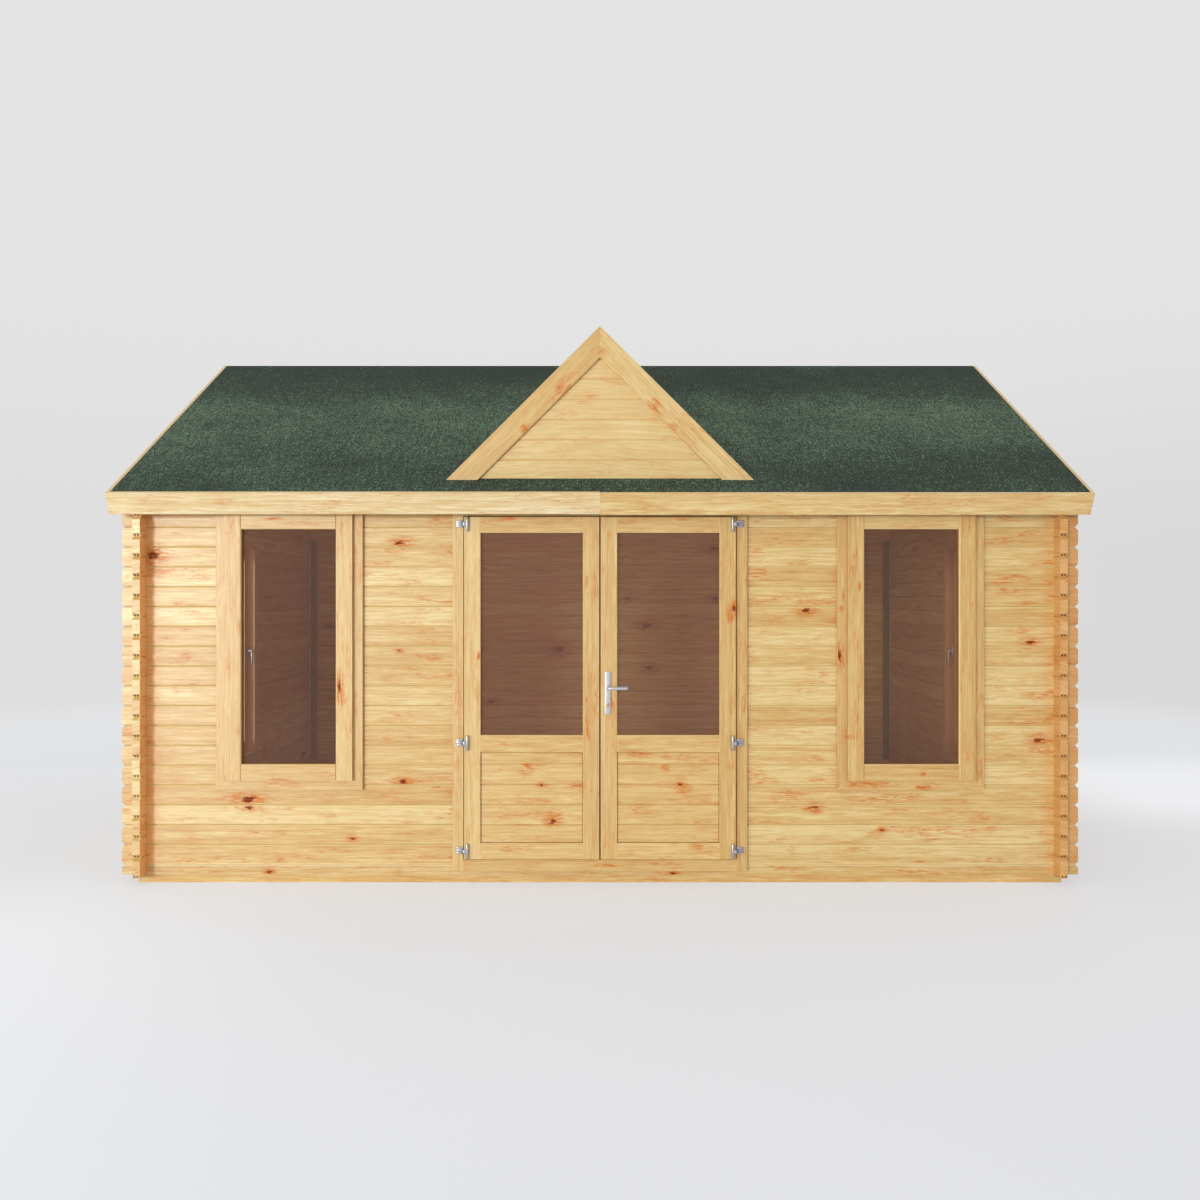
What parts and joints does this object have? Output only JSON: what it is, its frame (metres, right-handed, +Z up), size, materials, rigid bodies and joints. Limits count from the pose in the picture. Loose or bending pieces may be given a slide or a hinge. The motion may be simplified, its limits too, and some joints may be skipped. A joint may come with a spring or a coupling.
{
  "type": "garden log cabin",
  "caption": "Log cabin with interlocking wall logs, a felted pitched roof, a decorative front gable, glazed double doors that open outwards and tall fixed windows.",
  "frame": {"origin": "on the ground at the middle of the cabin's footprint", "axes": "+X to the right along the front wall and the ridge, the front with the doors faces -Y, +Z up"},
  "size_m": [5.54, 4.158, 3.3417],
  "materials": {
    "log_pine": "planed untreated pine, knotty",
    "joinery_pine": "planed pine, fine straight grain",
    "trim_pine": "planed pine boards",
    "roof_pine": "planed pine boards",
    "floor_pine": "sawn pine",
    "roof_felt": "dark green mineral felt, granular and matt",
    "glass": "clear polished glass",
    "hinge_steel": "satin",
    "handle_steel": "satin",
    "cylinder_brass": "polished"
  },
  "bodies": {
    "cabin": {"back_wall": "log_pine", "bargeboards_left": "trim_pine", "bargeboards_right": "trim_pine", "door_frame": "joinery_pine", "fascia_back": "trim_pine", "fascia_front_left": "trim_pine", "fascia_front_right": "trim_pine", "floor_bearers": "floor_pine", "floor_boards": "floor_pine", "front_wall_base": "log_pine", "front_wall_head": "log_pine", "front_wall_left": "log_pine", "front_wall_right": "log_pine", "front_window_frame_left": "joinery_pine", "front_window_frame_right": "joinery_pine", "front_window_glass_left": "glass", "front_window_glass_right": "glass", "front_window_sash_left": "joinery_pine", "front_window_sash_right": "joinery_pine", "gable_bargeboard_left": "trim_pine", "gable_bargeboard_right": "trim_pine", "gable_cladding": "trim_pine", "gable_roof_boards": "roof_pine", "gable_roof_felt": "roof_felt", "hinge_brackets": "hinge_steel", "left_wall": "log_pine", "purlins": "roof_pine", "right_wall": "log_pine", "roof_boards_back": "roof_pine", "roof_boards_front": "roof_pine", "roof_felt_back": "roof_felt", "roof_felt_front": "roof_felt", "side_window_frame_left": "joinery_pine", "side_window_frame_right": "joinery_pine", "side_window_glass_left": "glass", "side_window_glass_right": "glass", "side_window_sash_left": "joinery_pine", "side_window_sash_right": "joinery_pine", "window_catches": "handle_steel"},
    "door_left": {"door_glass_left": "glass", "door_leaf_left": "joinery_pine", "hinge_barrels_left": "hinge_steel"},
    "door_right": {"door_glass_right": "glass", "door_leaf_right": "joinery_pine", "handle_plates": "handle_steel", "hinge_barrels_right": "hinge_steel", "lock_cylinder": "cylinder_brass"},
    "lever": {"door_lever": "handle_steel"}
  },
  "joints": [
    {"name": "door_left_hinge", "type": "hinge", "parent": "cabin", "child": "door_left", "pos_m": [-0.757, -1.954, 1.118], "axis": [0, 0, -1], "range_deg": [0, 160]},
    {"name": "door_right_hinge", "type": "hinge", "parent": "cabin", "child": "door_right", "pos_m": [0.757, -1.954, 1.118], "axis": [0, 0, 1], "range_deg": [0, 160]},
    {"name": "lever_turn", "type": "hinge", "parent": "door_right", "child": "lever", "pos_m": [0.044, -1.92, 1.12], "axis": [0, 1, 0], "range_deg": [0, 40], "stiffness_Nm_per_rad": 1.2, "springref_deg": -51.57}
  ]
}
